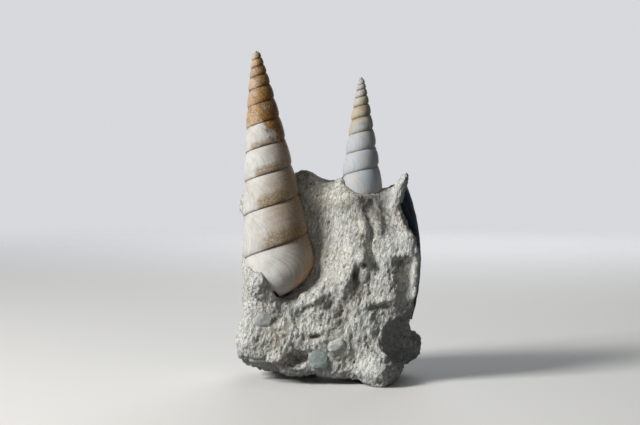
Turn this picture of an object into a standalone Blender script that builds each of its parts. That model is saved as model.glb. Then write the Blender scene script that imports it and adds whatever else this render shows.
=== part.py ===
"""Two fossil turret shells, a dark bivalve and a few shell chips in their block of pale sediment.

The block stands on the ground plane, z = 0, with its front towards -Y and its origin at the middle of
its footprint. Lengths are in metres. Every fossil is a solid of its own, in a pocket of the block.
"""
import math

import bmesh
import bpy
from mathutils import Quaternion, Vector, noise
from mathutils.bvhtree import BVHTree

MM = 0.001
GAP = 0.3 * MM                  # clearance between a fossil and the wall of its pocket
MERGE = 0.02 * MM               # points closer than this are one point

COLLECTION = "fossil_turret_shells"
CUTTERS = "pockets_and_scoops"

FRONT = math.radians(-90)       # the direction that faces the viewer, about +Z

# Large turret shell: it leans to the left, and its last whorl lies in the block.
LARGE_TIP = Vector((-28.9, -9.0, 129.8)) * MM
LARGE_FOOT = Vector((-18.9, -8.5, 34.0)) * MM
LARGE_WHORLS = (0.9, 2.4, 3.0, 3.5, 4.6, 6.0, 7.6, 9.1, 10.8, 12.4, 15.9, 19.5)   # heights in mm, tip first
LARGE_TURNS = 11.2              # turns from the tip to the lip of the mouth
LARGE_RADIUS = 14.5 * MM        # at the last whorl
LARGE_REACH = 85.0 * MM         # distance from the tip at which it has that radius
LARGE_TAPER = 0.70              # 1 is a straight cone, less is a swollen one
LARGE_BLUNT = 2.2 * MM          # length of the tip that is worn off
LARGE_STEPS = 20                # facets in a turn

# Small turret shell: it stands nearly upright in the top of the block.
SMALL_TIP = Vector((12.3, -4.0, 119.8)) * MM
SMALL_FOOT = Vector((12.4, -4.0, 68.0)) * MM
SMALL_WHORLS = (1.2, 1.8, 2.0, 2.8, 3.5, 4.6, 5.7, 7.2, 7.8, 8.3, 8.6)
SMALL_TURNS = 10.1
SMALL_RADIUS = 7.5 * MM
SMALL_REACH = 37.6 * MM
SMALL_TAPER = 0.75
SMALL_BLUNT = 1.9 * MM
SMALL_STEPS = 16

# Where a whorl's facets lie between its upper suture (0) and its lower one (1), and how far they draw
# in there, as shares of the shell's radius, on an old whorl and on a young one, which is rounder.
WHORL_SHAPE = ((0.0, 0.095, 0.20), (0.15, 0.042, 0.09), (0.50, 0.0, 0.0), (0.85, 0.010, 0.07), (1.0, 0.095, 0.20))
OLD_WHORL = 0.75                # a whorl is fully old after this share of the shell's turns
POCKET_DRAW = 0.5               # the sediment reaches this far into the sutures
BASE_START = 0.45               # the last whorl turns under from here
BASE_END = 1.12                 # and would reach the axis here
BASE_TURN = 0.25                # turns that it takes to form that rounded base
NUB = 1.3 * MM                  # the tip is rounded off over this length

# Bivalve valve on the right flank: a thin dome that bulges to the right.
VALVE_CREST = Vector((36.4, 5.0, 47.0)) * MM       # the place furthest to the right
VALVE_ROUND = 21.0 * MM         # radius from front to back
VALVE_LONG = 82.0 * MM          # radius from top to bottom
VALVE_WALL = 1.3 * MM
VALVE_COVER = 0.8               # how far the block stands proud around the valve, in mm
VALVE_CLEARED = 9.0 * MM        # nothing of the block lies within this outside the valve
VALVE_FRONT = ((20.0, 0.0), (29.0, -4.0), (40.0, -7.5), (55.0, -9.0), (68.0, -8.5), (75.5, -6.5), (79.4, -4.0))
VALVE_BACK = ((20.0, 15.0), (29.0, 19.0), (40.0, 21.0), (52.0, 20.5), (64.0, 16.0), (73.0, 8.0), (79.4, 0.0))
VALVE_BREAK = 4.0 * MM          # how far its broken lower edge wanders up and down

# The block's outline, front view, in mm: (height, x) for the sides and (x, height) for the top.
LEFT_SIDE = ((0, -32.0), (8, -36.6), (16, -36.8), (24, -34.2), (34, -33.6), (46, -34.4), (56, -32.5), (63, -34.4),
             (70, -36.0), (76, -34.0), (84, -28.0))
RIGHT_SIDE = ((0, 31.0), (8, 33.0), (13, 34.0), (20, 31.0), (28, 32.6), (34, 34.4), (46, 36.0), (53, 35.3),
              (58, 33.2), (61, 30.6), (68, 28.8), (74, 28.9), (84, 30.0))
TOP_EDGE = ((-36, 73.0), (-30, 78.0), (-20, 80.0), (-9.6, 83.0), (-6, 80.8), (2, 78.6), (7, 80.6), (14, 79.0),
            (21, 75.4), (25.5, 75.0), (28, 76.5), (30, 78.5), (34, 75.0))
BLOCK_CUTS = 17                 # grid lines across each side of the block
BLOCK_ROUND = 8.0               # 2 is a ball, and more is a squarer block
ROCK_SWELLING = 2.2             # how far the rock's long swellings stand out, in mm
ROCK_KNOBS = 1.6                # and the smaller knobs on them
ROCK_CALM = 0.65                # both are this share as high above the feet
VALLEY_DEPTH = -9.5             # where the front lies right beside the large shell

# Shell chips that lie flush in the block's front, in mm: name, x, height, half length, half width, turn.
CHIPS = (
    ("grey_chip", -4.6, 10.2, 3.5, 3.5, 3.0),
    ("side_chip", -25.8, 25.4, 3.3, 2.4, 78.0),
    ("pale_chip", 2.4, 16.2, 3.3, 2.0, 112.0),
)
CHIP_SQUARE = 4.0               # 2 is an oval outline, and more is a squarer one
CHIP_FLAT = 5.0                 # 2 is a dome, and more is a flatter scrap
CHIP_UNEVEN = 0.25
CHIP_HALF_THICK = 1.1 * MM
CHIP_SINK = 0.6 * MM            # how far its middle lies below the block's surface

# Hills (+) and hollows (-) in mm: place across, place up, half width, half height, how far they stand out.
FRONT_RELIEF = (
    ("crest, top", 12.0, 61.0, 5.0, 6.0, 3.5),
    ("crest, middle", 10.0, 52.0, 4.5, 7.0, 4.5),
    ("crest, foot", 5.5, 41.0, 5.0, 6.0, 3.5),
    ("hollow right of the crest", 16.5, 54.0, 3.0, 5.0, -2.0),
    ("way between the large shell and the crest", -3.5, 57.0, 5.0, 17.0, -2.2),
    ("scoop between the small shell and the horn", 24.5, 68.0, 6.0, 6.0, -3.2),
    ("cheek left of the small shell", 5.5, 74.5, 4.0, 5.0, 2.5),
    ("collar of the small shell", 13.0, 73.6, 7.5, 3.3, 4.6),
    ("horn", 30.0, 70.0, 6.0, 12.0, 5.5),
    ("rim below the horn", 30.5, 55.0, 5.0, 7.0, 3.5),
    ("swelling on the right", 22.5, 46.0, 6.0, 10.0, 3.5),
    ("recess on the right", 29.0, 42.0, 4.0, 7.5, -5.5),
    ("step under the swelling", 21.5, 27.0, 7.0, 3.0, -1.8),
    ("rim of the recess", 34.5, 43.0, 2.5, 9.0, 4.0),
    ("cheek over the large shell's foot", -31.5, 40.0, 7.0, 6.0, 4.5),
    ("flange over the large shell's side", -24.5, 41.0, 3.6, 4.4, 5.0),
    ("ridge under the large shell's lip", -5.5, 32.5, 4.0, 2.4, 2.2),
    ("hollow under that ridge", -10.0, 27.0, 3.5, 3.0, -1.8),
    ("belly, left", -29.0, 18.0, 9.0, 8.0, 2.0),
    ("belly, middle", -2.0, 19.0, 13.0, 8.0, 1.6),
    ("brow over the chips", 0.5, 16.5, 7.0, 3.0, 1.8),
    ("front foot", 20.0, 4.0, 7.5, 8.0, 7.0),
)
BACK_RELIEF = (
    ("swelling on the left", -14.0, 30.0, 14.0, 18.0, 3.6),
    ("furrow", 6.0, 48.0, 7.0, 24.0, -4.0),
    ("swelling on the right", 21.0, 24.0, 10.0, 14.0, 2.5),
)
UNDER_RELIEF = (
    ("front foot", 20.0, -20.0, 6.5, 8.0, -9.0),
    ("foot's right side", 26.0, -6.0, 6.0, 10.0, -3.5),
    ("middle left foot", -14.0, 5.0, 7.0, 8.0, -8.5),
    ("back left foot", -20.0, 18.0, 7.0, 7.0, -8.0),
    ("back right foot", 20.0, 16.0, 9.0, 7.0, -8.0),
    ("arch between the feet", 2.0, -4.0, 7.0, 7.0, 3.0),
    ("front edge, middle", 4.0, -20.0, 9.0, 6.0, -2.5),
)

# Forms joined to the block or scooped out of it, in this order, in mm: name, operation, centre, radii, turn.
BLOCK_FORMS = (
    ("lower right scoop", "DIFFERENCE", (37.5, -18.0, 17.0), (18.2, 26.0, 13.5), 0.0),
    ("hollow over the middle foot", "DIFFERENCE", (-12.5, -22.0, 11.0), (5.5, 8.0, 3.2), 0.0),
    ("rear lobe", "UNION", (27.5, 13.0, 11.5), (10.4, 9.4, 8.0), 0.0),
    ("left shoulder", "UNION", (-30.0, 8.0, 69.0), (6.5, 8.0, 7.0), 0.0),
    ("horn's tip", "UNION", (25.8, -8.0, 72.0), (2.9, 4.6, 11.2), 18.0),
    ("shoulder left of the small shell", "UNION", (4.6, -5.0, 77.0), (3.4, 5.0, 3.8), 0.0),
)
LUMP_ROUGH = 0.15               # how uneven those forms are, as a share of their radii


def smooth_curve(points, scale=1.0):
    """A smooth function through a few (place, value) points, level beyond its ends."""
    places = [point[0] * scale for point in points]
    values = [point[1] * scale for point in points]

    def slope(index):
        before = max(index - 1, 0)
        after = min(index + 1, len(places) - 1)
        return (values[after] - values[before]) / (places[after] - places[before])

    def value(place):
        if place <= places[0]:
            return values[0]
        if place >= places[-1]:
            return values[-1]
        index = max(i for i in range(len(places)) if places[i] <= place)
        span = places[index + 1] - places[index]
        t = (place - places[index]) / span
        start = values[index] * (2 * t ** 3 - 3 * t ** 2 + 1) + slope(index) * span * (t ** 3 - 2 * t ** 2 + t)
        end = values[index + 1] * (3 * t ** 2 - 2 * t ** 3) + slope(index + 1) * span * (t ** 3 - t ** 2)
        return start + end

    return value


def smooth_step(low, high, value):
    """0 below low, 1 above high, and an even passage between them."""
    share = min(max((value - low) / (high - low), 0.0), 1.0)
    return share * share * (3 - 2 * share)


def mix(start, end, share):
    return start + (end - start) * share


# ---------------------------------------------------------------- scene

def clear_scene():
    for old in list(bpy.data.objects):
        bpy.data.objects.remove(old, do_unlink=True)


def new_collection(name):
    collection = bpy.data.collections.new(name)
    bpy.context.scene.collection.children.link(collection)
    return collection


def new_material(name, colour, roughness):
    material = bpy.data.materials.new(name)
    material.use_nodes = True
    shader = material.node_tree.nodes["Principled BSDF"]
    shader.inputs["Base Color"].default_value = (*colour, 1.0)
    shader.inputs["Roughness"].default_value = roughness
    shader.inputs["Metallic"].default_value = 0.0
    return material


def new_object(name, bm, collection, material=None, smooth_angle=None):
    """Make bm an object of the collection, with its faces pointing out."""
    bmesh.ops.recalc_face_normals(bm, faces=bm.faces)
    mesh = bpy.data.meshes.new(name)
    bm.to_mesh(mesh)
    bm.free()
    part = bpy.data.objects.new(name, mesh)
    collection.objects.link(part)
    if material is not None:
        mesh.materials.append(material)
    if smooth_angle is not None:
        mesh.shade_smooth()
        mesh.set_sharp_from_angle(angle=smooth_angle)
    return part


def as_cutter(part):
    part.hide_render = True
    part.display_type = "WIRE"
    return part


def boolean(part, other, operation, solver="EXACT"):
    modifier = part.modifiers.new(f"{operation.lower()} {other.name}", "BOOLEAN")
    modifier.object = other
    modifier.operation = operation
    modifier.solver = solver


# ---------------------------------------------------------------- turret shells

class Turret:
    """The growth of one turret shell, in its own frame: the tip at the origin, the axis down -Z."""

    def __init__(self, whorls, turns, radius, reach, taper, blunt, steps, room=0.0):
        self.room = room        # how much wider than the shell it is: a pocket has some, a shell none
        self.sutures = [0.0]
        for height in whorls:
            self.sutures.append(self.sutures[-1] + height * MM)
        self.suture_curve = smooth_curve(list(enumerate(self.sutures)))
        self.turns = round(turns * steps) / steps      # whole steps, so that the whorls meet point to point
        self.radius = radius
        self.reach = reach
        self.taper = taper
        self.blunt = blunt
        self.steps = steps

    def suture(self, turn):
        """How far from the tip the suture is after so many turns."""
        last = len(self.sutures) - 1
        if turn <= last:
            return self.suture_curve(turn)
        return self.sutures[-1] + (turn - last) * (self.sutures[-1] - self.sutures[-2])

    def girth(self, along):
        """The shell's radius at a distance from the tip."""
        share = (along + self.blunt) / (self.reach + self.blunt)
        to_full = 1 - min(along / NUB, 1.0)
        return self.radius * share ** self.taper * math.sqrt(1 - to_full * to_full)

    def point(self, turn, rib):
        """A point of the whorl that has grown for so many turns, on one of the whorl's ribs."""
        share, old_draw, young_draw = WHORL_SHAPE[rib]
        draw = mix(young_draw, old_draw, smooth_step(0.0, OLD_WHORL * self.turns, turn + share))
        if self.room > 0:
            draw *= POCKET_DRAW
        along = mix(self.suture(turn), self.suture(turn + 1), share)
        girth = self.girth(along) * (1 - draw)
        base = smooth_step(self.turns - 1, self.turns - 1 + BASE_TURN, turn)
        if share > BASE_START and base > 0:
            under = (share - BASE_START) / (BASE_END - BASE_START)
            girth *= mix(1.0, math.sqrt(1 - under * under), base)
            along += 2 * self.room * under * base
        girth += self.room
        if turn == self.turns and rib > 0:
            turn += self.room / (math.pi * self.radius)
        angle = FRONT - math.tau * turn
        return Vector((girth * math.cos(angle), girth * math.sin(angle), -along))


def turret_mesh(turret):
    """The whorls, grown by turning and widening one rib of facets step by step, then closed."""
    bm = bmesh.new()
    rib_layer = bm.verts.layers.int.new("rib")
    first = []
    for rib in range(len(WHORL_SHAPE)):
        vert = bm.verts.new(turret.point(0.0, rib))
        vert[rib_layer] = rib
        first.append(vert)
    edges = [bm.edges.new(pair) for pair in zip(first, first[1:])]
    for step in range(1, round(turret.turns * turret.steps) + 1):
        grown = bmesh.ops.extrude_edge_only(bm, edges=edges)["geom"]
        for vert in grown:
            if isinstance(vert, bmesh.types.BMVert):
                vert.co = turret.point(step / turret.steps, vert[rib_layer])
        verts = {item for item in grown if isinstance(item, bmesh.types.BMVert)}
        edges = [item for item in grown if isinstance(item, bmesh.types.BMEdge)
                 and item.verts[0] in verts and item.verts[1] in verts]
    bmesh.ops.remove_doubles(bm, verts=bm.verts, dist=MERGE)
    tip_limit = -turret.suture(1.5)
    rims = [edge for edge in bm.edges if edge.is_boundary]
    tip_rim = [edge for edge in rims if edge.verts[0].co.z > tip_limit]
    base_rim = [edge for edge in rims if edge.verts[0].co.z <= tip_limit]
    close_to_point(bm, tip_rim, Vector((0, 0, 0.15 * MM + turret.room)))
    close_to_point(bm, base_rim, Vector((0, 0, -turret.suture(turret.turns + 0.8) - 3 * turret.room)))
    return bm


def close_to_point(bm, rim, point):
    grown = bmesh.ops.extrude_edge_only(bm, edges=rim)["geom"]
    verts = [item for item in grown if isinstance(item, bmesh.types.BMVert)]
    bmesh.ops.pointmerge(bm, verts=verts, merge_co=point)


def swell(bm, amount):
    """Grow a closed mesh outwards by about amount."""
    bmesh.ops.recalc_face_normals(bm, faces=bm.faces)
    bm.normal_update()
    moves = [(vert, vert.normal * amount) for vert in bm.verts]
    for vert, move in moves:
        vert.co += move


def place_turret(part, tip, foot):
    part.location = tip
    part.rotation_mode = "QUATERNION"
    part.rotation_quaternion = (tip - foot).normalized().rotation_difference(Vector((0, 0, 1))).inverted()


def make_turret(name, growth, tip, foot, material, collection, cutters):
    """A turret shell, and the cutter of its pocket, which is returned."""
    shell = new_object(name, turret_mesh(Turret(*growth)), collection, material, math.radians(32))
    place_turret(shell, tip, foot)
    pocket = new_object(f"pocket of {name}", turret_mesh(Turret(*growth, room=GAP)), cutters)
    place_turret(pocket, tip, foot)
    return as_cutter(pocket)


# ---------------------------------------------------------------- bivalve

def valve_x(y, z):
    """How far right the outside of the valve is at a depth and height."""
    fore = min(abs(y - VALVE_CREST.y), VALVE_ROUND) / VALVE_ROUND
    up = (z - VALVE_CREST.z) / VALVE_LONG
    round_part = VALVE_ROUND * (1 - math.sqrt(max(1 - fore * fore, 0)))
    long_part = VALVE_LONG * (1 - math.sqrt(1 - up * up))
    return VALVE_CREST.x - round_part * 0.85 - long_part


def valve_sheet(margin):
    """The outside of the valve as a curved sheet, out to its broken edge and a margin beyond it."""
    front = smooth_curve(VALVE_FRONT, MM)
    back = smooth_curve(VALVE_BACK, MM)
    low = VALVE_FRONT[0][0] * MM - margin
    high = VALVE_FRONT[-1][0] * MM + margin
    bm = bmesh.new()
    bmesh.ops.create_grid(bm, x_segments=9, y_segments=14, size=1.0)
    for vert in bm.verts:
        u, v = vert.co.x, vert.co.y
        break_line = low + VALVE_BREAK * (1 + 1.5 * noise.noise(Vector((u * 2.3, 4.0, 0))))
        z = mix(break_line, high, (v + 1) / 2)
        broken = 0.8 * MM * noise.noise(Vector((0, 0, z / (7 * MM))))
        fore = front(z) - margin + broken
        aft = back(z) + margin - broken
        y = mix(fore, aft, (u + 1) / 2)
        vert.co = Vector((valve_x(y, z), y, z))
    return bm


def make_valve(material, collection, cutters):
    """The valve, and the cutter that leaves the block just inside it, which is returned."""
    valve = new_object("bivalve_valve", valve_sheet(0), collection, material, math.radians(40))
    give_thickness(valve, VALVE_WALL, 0)
    bed = new_object("bed of the valve", valve_sheet(GAP), cutters)
    give_thickness(bed, VALVE_WALL + GAP, VALVE_CLEARED)
    return as_cutter(bed)


def give_thickness(sheet, inwards, outwards):
    """Turn a sheet's faces to look to the right, and thicken it to both sides of itself."""
    normal_sum = sum((face.normal * face.area for face in sheet.data.polygons), Vector())
    if normal_sum.x < 0:
        sheet.data.flip_normals()
    wall = sheet.modifiers.new("wall", "SOLIDIFY")
    wall.thickness = inwards + outwards
    wall.offset = (outwards - inwards) / (outwards + inwards)


# ---------------------------------------------------------------- lumps

def lump(name, centre, radii, turn, collection):
    """A knobbly pebble form: centre and radii in mm, turned about the viewing axis."""
    bm = bmesh.new()
    bmesh.ops.create_icosphere(bm, subdivisions=2, radius=1.0)
    for vert in bm.verts:
        wave = noise.noise(vert.co * 1.7 + Vector((centre[0], 0, 0)))
        vert.co *= 1 + LUMP_ROUGH * wave
        vert.co = Vector((vert.co.x * radii[0], vert.co.y * radii[1], vert.co.z * radii[2])) * MM
    part = new_object(name, bm, collection)
    part.location = Vector(centre) * MM
    part.rotation_euler = (0, math.radians(turn), 0)
    return part


# ---------------------------------------------------------------- block

def hill(across, up, centre, size):
    """1 at the centre of a round hill and 0 well outside it."""
    return math.exp(-((across - centre[0]) / size[0]) ** 2 - ((up - centre[1]) / size[1]) ** 2)


def relief(forms, across, up):
    """The sum of a table of hills and hollows at a place."""
    return sum(form[-1] * hill(across, up, form[1:3], form[3:5]) for form in forms)


def front_face(x, z):
    """The depth of the block's front: -26 is nearest the viewer."""
    y = mix(-20.5, -12.5, smooth_step(32, 68, z))
    y += 6.0 * smooth_step(68, 83, z)                                  # the top edge leans back
    # The bed of the large shell: the front steps back above a line that rises to both sides of its foot.
    bed_line = mix(47.5, 33.5, smooth_step(-27.0, -18.5, x)) + 5.5 * smooth_step(-15, -5, x)
    beside = 1 - smooth_step(-9.0, 0.0, x)
    bed = mix(-4.0, VALLEY_DEPTH, smooth_step(-18.0, -11.0, x))
    y = mix(y, bed, beside * smooth_step(bed_line - 1.5, bed_line + 3.5, z))
    return y - relief(FRONT_RELIEF, x, z)


def back_face(x, z):
    """The depth of the block's back."""
    return 22.5 - 7.0 * smooth_step(45, 82, z) + relief(BACK_RELIEF, x, z)


def under_side(x, y):
    """The height of the block's underside: what falls below 0 is cut flat, as a foot."""
    clear_front = smooth_step(-6, -15, y) * smooth_step(-15, -22, x)
    return 4.0 + 6.0 * clear_front + relief(UNDER_RELIEF, x, y)


def right_side(z, b):
    """How far right the block reaches: behind its front corner it fills the valve."""
    y = mix(front_face(30.0, z), back_face(30.0, z), (b + 1) / 2)
    behind_corner = smooth_step(-0.85, -0.50, b) * smooth_step(22, 30, z)
    return mix(smooth_curve(RIGHT_SIDE)(z), valve_x(y * MM, z * MM) / MM + VALVE_COVER, behind_corner)


def block_point(a, b, c):
    """Carry a point of the rounded cube (each of a, b and c from -1 to 1) to the block."""
    x = 36.0 * a
    z = mix(under_side(x, 24.0 * b), smooth_curve(TOP_EDGE)(x), (c + 1) / 2)
    x = mix(smooth_curve(LEFT_SIDE)(z), right_side(z, b), (a + 1) / 2)
    y = mix(front_face(x, z), back_face(x, z), (b + 1) / 2)
    return Vector((x, y, z))


def wander(point):
    """A smoothly changing shift, up to about 1 in each direction; it is the same in every run."""
    shifts = (Vector((0, 0, 0)), Vector((31, 0, 0)), Vector((0, 47, 0)))
    return Vector(noise.noise(point + shift) for shift in shifts)


def rough_rock(point):
    """The block's own lumps: long, steep swellings with smaller knobs on them."""
    long_form = Vector((point.x / 9.0, point.y / 9.0, point.z / 16.0))
    knobs = Vector((point.x / 4.2, point.y / 4.2, point.z / 6.5 + 7.0))
    by_valve = smooth_step(26, 30, point.x) * smooth_step(-14, -10, point.y) * smooth_step(20, 26, point.z)
    calm = mix(1.0, ROCK_CALM, smooth_step(8, 16, point.z))
    return (wander(long_form) * ROCK_SWELLING + wander(knobs) * ROCK_KNOBS) * (1 - 0.8 * by_valve) * calm


def block_mesh():
    bm = bmesh.new()
    bmesh.ops.create_cube(bm, size=2.0)
    bmesh.ops.subdivide_edges(bm, edges=bm.edges, cuts=BLOCK_CUTS, use_grid_fill=True)
    for vert in bm.verts:
        a, b, c = vert.co
        reach = sum(abs(part) ** BLOCK_ROUND for part in (a, b, c)) ** (1 / BLOCK_ROUND)
        point = block_point(a / reach, b / reach, c / reach)
        vert.co = (point + rough_rock(point)) * MM
    return bm


def cut_feet(part, cutters):
    """Cut everything below the ground plane away, which leaves the feet flat."""
    bm = bmesh.new()
    bmesh.ops.create_cube(bm, size=1.0)
    bmesh.ops.scale(bm, verts=bm.verts, vec=(110 * MM, 90 * MM, 20 * MM))
    bmesh.ops.translate(bm, verts=bm.verts, vec=(0, 0, -10 * MM))
    boolean(part, as_cutter(new_object("ground", bm, cutters)), "DIFFERENCE")


def chip_mesh(half_length, half_width):
    """A thin, flat, squarish chip with a slightly uneven edge, lying across its own Z axis."""
    bm = bmesh.new()
    bmesh.ops.create_icosphere(bm, subdivisions=2, radius=1.0)
    for vert in bm.verts:
        x, y, z = vert.co
        reach = math.hypot(x, y)
        corner = (abs(x) ** CHIP_SQUARE + abs(y) ** CHIP_SQUARE) ** (1 / CHIP_SQUARE)
        wide = reach / corner if corner > 0 else 1.0
        wide *= 1 + CHIP_UNEVEN * noise.noise(Vector((x * 1.6, y * 1.6, half_length)))
        high = math.copysign(math.sqrt(max(1 - reach ** CHIP_FLAT, 0)), z)
        vert.co = Vector((x * half_length * wide * MM, y * half_width * wide * MM, high * CHIP_HALF_THICK))
    return bm


def make_chips(surface, material, collection, cutters):
    """The chips, each laid on the surface that is found behind its place, and their pockets."""
    pockets = []
    for name, x, z, half_length, half_width, turn in CHIPS:
        eye = Vector((x * MM, -80 * MM, z * MM))
        place, normal, _, _ = surface.ray_cast(eye, Vector((0, 1, 0)))
        seat = normal.to_track_quat("Z", "X") @ Quaternion((0, 0, 1), math.radians(turn))
        chip = new_object(name, chip_mesh(half_length, half_width), collection, material, math.radians(60))
        bm = chip_mesh(half_length, half_width)
        swell(bm, GAP)
        pocket = as_cutter(new_object(f"pocket of {name}", bm, cutters))
        for piece in (chip, pocket):
            piece.location = place - normal * CHIP_SINK
            piece.rotation_mode = "QUATERNION"
            piece.rotation_quaternion = seat
        pockets.append(pocket)
    return pockets


def make_block(material, chip_material, collection, cutters, pockets):
    bm = block_mesh()
    surface = BVHTree.FromBMesh(bm)
    block = new_object("matrix", bm, collection, material)
    pockets = pockets + make_chips(surface, chip_material, collection, cutters)
    for name, operation, centre, radii, turn in BLOCK_FORMS:
        boolean(block, as_cutter(lump(name, centre, radii, turn, cutters)), operation)
    cut_feet(block, cutters)
    for pocket in pockets:
        boolean(block, pocket, "DIFFERENCE", "MANIFOLD")
    return block


def main():
    clear_scene()
    collection = new_collection(COLLECTION)
    cutters = new_collection(CUTTERS)
    chalk = new_material("chalky sediment", (0.62, 0.60, 0.54), 0.9)
    cream = new_material("cream shell", (0.78, 0.64, 0.50), 0.5)
    white = new_material("blue white shell", (0.74, 0.74, 0.72), 0.45)
    dark = new_material("dark bivalve shell", (0.03, 0.045, 0.06), 0.25)
    grey = new_material("grey shell chip", (0.42, 0.44, 0.44), 0.35)

    large = (LARGE_WHORLS, LARGE_TURNS, LARGE_RADIUS, LARGE_REACH, LARGE_TAPER, LARGE_BLUNT, LARGE_STEPS)
    small = (SMALL_WHORLS, SMALL_TURNS, SMALL_RADIUS, SMALL_REACH, SMALL_TAPER, SMALL_BLUNT, SMALL_STEPS)
    pockets = [
        make_turret("large_turret_shell", large, LARGE_TIP, LARGE_FOOT, cream, collection, cutters),
        make_turret("small_turret_shell", small, SMALL_TIP, SMALL_FOOT, white, collection, cutters),
        make_valve(dark, collection, cutters),
    ]
    make_block(chalk, grey, collection, cutters, pockets)


main()
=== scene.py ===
# %% [markdown]
# # Two fossil turret shells in their block of sediment
#
# The specimen is a hand-sized block of pale, chalky sediment. A tall turret shell leans out of its left side,
# a smaller one stands in its top, and the dark valve of a bivalve lies along its right flank. The solid parts
# come packed, each as a node of its own. This lesson dresses them: it grows finer shells by the rule by which
# real ones grow, roughens the block, and gives every piece the colours and the wear of the real thing.

# %% Load the solid parts
import math

import bmesh
import bpy
from mathutils import Matrix, Vector, noise
from mathutils.bvhtree import BVHTree


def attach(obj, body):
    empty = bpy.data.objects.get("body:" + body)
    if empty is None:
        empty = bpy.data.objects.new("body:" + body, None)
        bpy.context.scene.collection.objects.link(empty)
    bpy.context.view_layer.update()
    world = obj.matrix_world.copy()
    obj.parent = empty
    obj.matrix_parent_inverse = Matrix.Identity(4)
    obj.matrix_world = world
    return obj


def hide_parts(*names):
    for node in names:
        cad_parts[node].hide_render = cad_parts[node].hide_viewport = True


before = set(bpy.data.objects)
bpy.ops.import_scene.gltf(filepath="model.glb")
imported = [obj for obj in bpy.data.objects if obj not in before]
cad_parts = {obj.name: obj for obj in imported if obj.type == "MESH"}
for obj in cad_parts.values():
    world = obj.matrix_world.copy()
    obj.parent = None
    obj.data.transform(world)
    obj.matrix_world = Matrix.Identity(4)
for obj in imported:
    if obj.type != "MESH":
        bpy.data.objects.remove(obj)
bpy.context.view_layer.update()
MM = 0.001
print("solid parts:", sorted(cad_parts))

# %% [markdown]
# ## A few helpers
#
# Colours are picked as they look on a screen and turned into the linear values that a shader wants. Shader
# nodes could be placed by hand in the editor; made by short functions, each finish below reads as a list of
# what lies over what.

# %% Colours and curves
def colour(red, green, blue):
    """A colour written in screen values from 0 to 255, as a shader's linear value."""
    linear = []
    for value in (red, green, blue):
        value /= 255
        linear.append(value / 12.92 if value <= 0.04045 else ((value + 0.055) / 1.055) ** 2.4)
    return (*linear, 1.0)


def mix(start, end, share):
    return start + (end - start) * share


def rise(value, low, high):
    """0 below low, 1 above high, and an even passage between them."""
    share = min(max((value - low) / (high - low), 0.0), 1.0)
    return share * share * (3 - 2 * share)


def smooth_curve(points, scale=1.0):
    """A smooth function through a few (place, value) points, level beyond its ends."""
    places = [point[0] * scale for point in points]
    values = [point[1] * scale for point in points]

    def slope(index):
        before = max(index - 1, 0)
        after = min(index + 1, len(places) - 1)
        return (values[after] - values[before]) / (places[after] - places[before])

    def value(place):
        if place <= places[0]:
            return values[0]
        if place >= places[-1]:
            return values[-1]
        index = max(i for i in range(len(places)) if places[i] <= place)
        span = places[index + 1] - places[index]
        t = (place - places[index]) / span
        start = values[index] * (2 * t ** 3 - 3 * t ** 2 + 1)
        start += slope(index) * span * (t ** 3 - 2 * t ** 2 + t)
        end = values[index + 1] * (3 * t ** 2 - 2 * t ** 3) + slope(index + 1) * span * (t ** 3 - t ** 2)
        return start + end

    return value


def bell(value, centre, width):
    """1 at the centre, falling to 0 on both sides."""
    return math.exp(-((value - centre) / width) ** 2)


print("white paper is", colour(240, 240, 238))


# %% Shader nodes
def new_material(name, roughness, gloss=0.5):
    """A material, its nodes and its shader. Worn things keep little gloss."""
    material = bpy.data.materials.new(name)
    material.use_nodes = True
    shader = material.node_tree.nodes["Principled BSDF"]
    shader.inputs["Roughness"].default_value = roughness
    shader.inputs["Specular IOR Level"].default_value = gloss
    return material, material.node_tree, shader


def add_node(tree, kind, inputs, **settings):
    """A shader node; an input is a value or another node's output socket."""
    made = tree.nodes.new(kind)
    for key, value in settings.items():
        setattr(made, key, value)
    for key, value in inputs.items():
        if isinstance(value, bpy.types.NodeSocket):
            tree.links.new(value, made.inputs[key])
        else:
            made.inputs[key].default_value = value
    return made


def blended(tree, share, first, second, mode="MIX"):
    """The second colour laid over the first by a share."""
    made = add_node(tree, "ShaderNodeMix", {0: share, 6: first, 7: second}, data_type="RGBA", blend_type=mode)
    return made.outputs[2]


def maths(tree, operation, first, second):
    return add_node(tree, "ShaderNodeMath", {0: first, 1: second}, operation=operation).outputs[0]


def times(tree, first, second):
    return maths(tree, "MULTIPLY", first, second)


def ranged(tree, value, low, high, to_low=0.0, to_high=1.0):
    """The value's passage from low to high, eased and carried to another range."""
    inputs = {"Value": value, "From Min": low, "From Max": high, "To Min": to_low, "To Max": to_high}
    return add_node(tree, "ShaderNodeMapRange", inputs, interpolation_type="SMOOTHSTEP").outputs[0]


def clouds(tree, place, scale, detail, rough):
    """Cloudy noise; detail is how many finer sizes are added, and rough how much each of them counts."""
    inputs = {"Vector": place, "Scale": scale, "Detail": detail, "Roughness": rough}
    return add_node(tree, "ShaderNodeTexNoise", inputs).outputs[0]


def stretched(tree, place, size, turn=(0, 0, 0)):
    """Coordinates turned and then divided by a size along each axis."""
    inputs = {"Vector": place, "Rotation": turn, "Scale": size}
    return add_node(tree, "ShaderNodeMapping", inputs, vector_type="TEXTURE").outputs[0]


def attribute(tree, name):
    """A value that is stored on the mesh."""
    made = add_node(tree, "ShaderNodeAttribute", {}, attribute_type="GEOMETRY", attribute_name=name)
    return made.outputs["Fac"]


def raised(tree, height, distance, normal=None):
    """A bump of a height map, over an earlier bump; distance is how high 1 stands, in metres."""
    inputs = {"Height": height, "Distance": distance, "Strength": 1.0}
    if normal is not None:
        inputs["Normal"] = normal
    return add_node(tree, "ShaderNodeBump", inputs).outputs[0]


def object_place(tree):
    return add_node(tree, "ShaderNodeTexCoord", {}).outputs["Object"]


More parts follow.
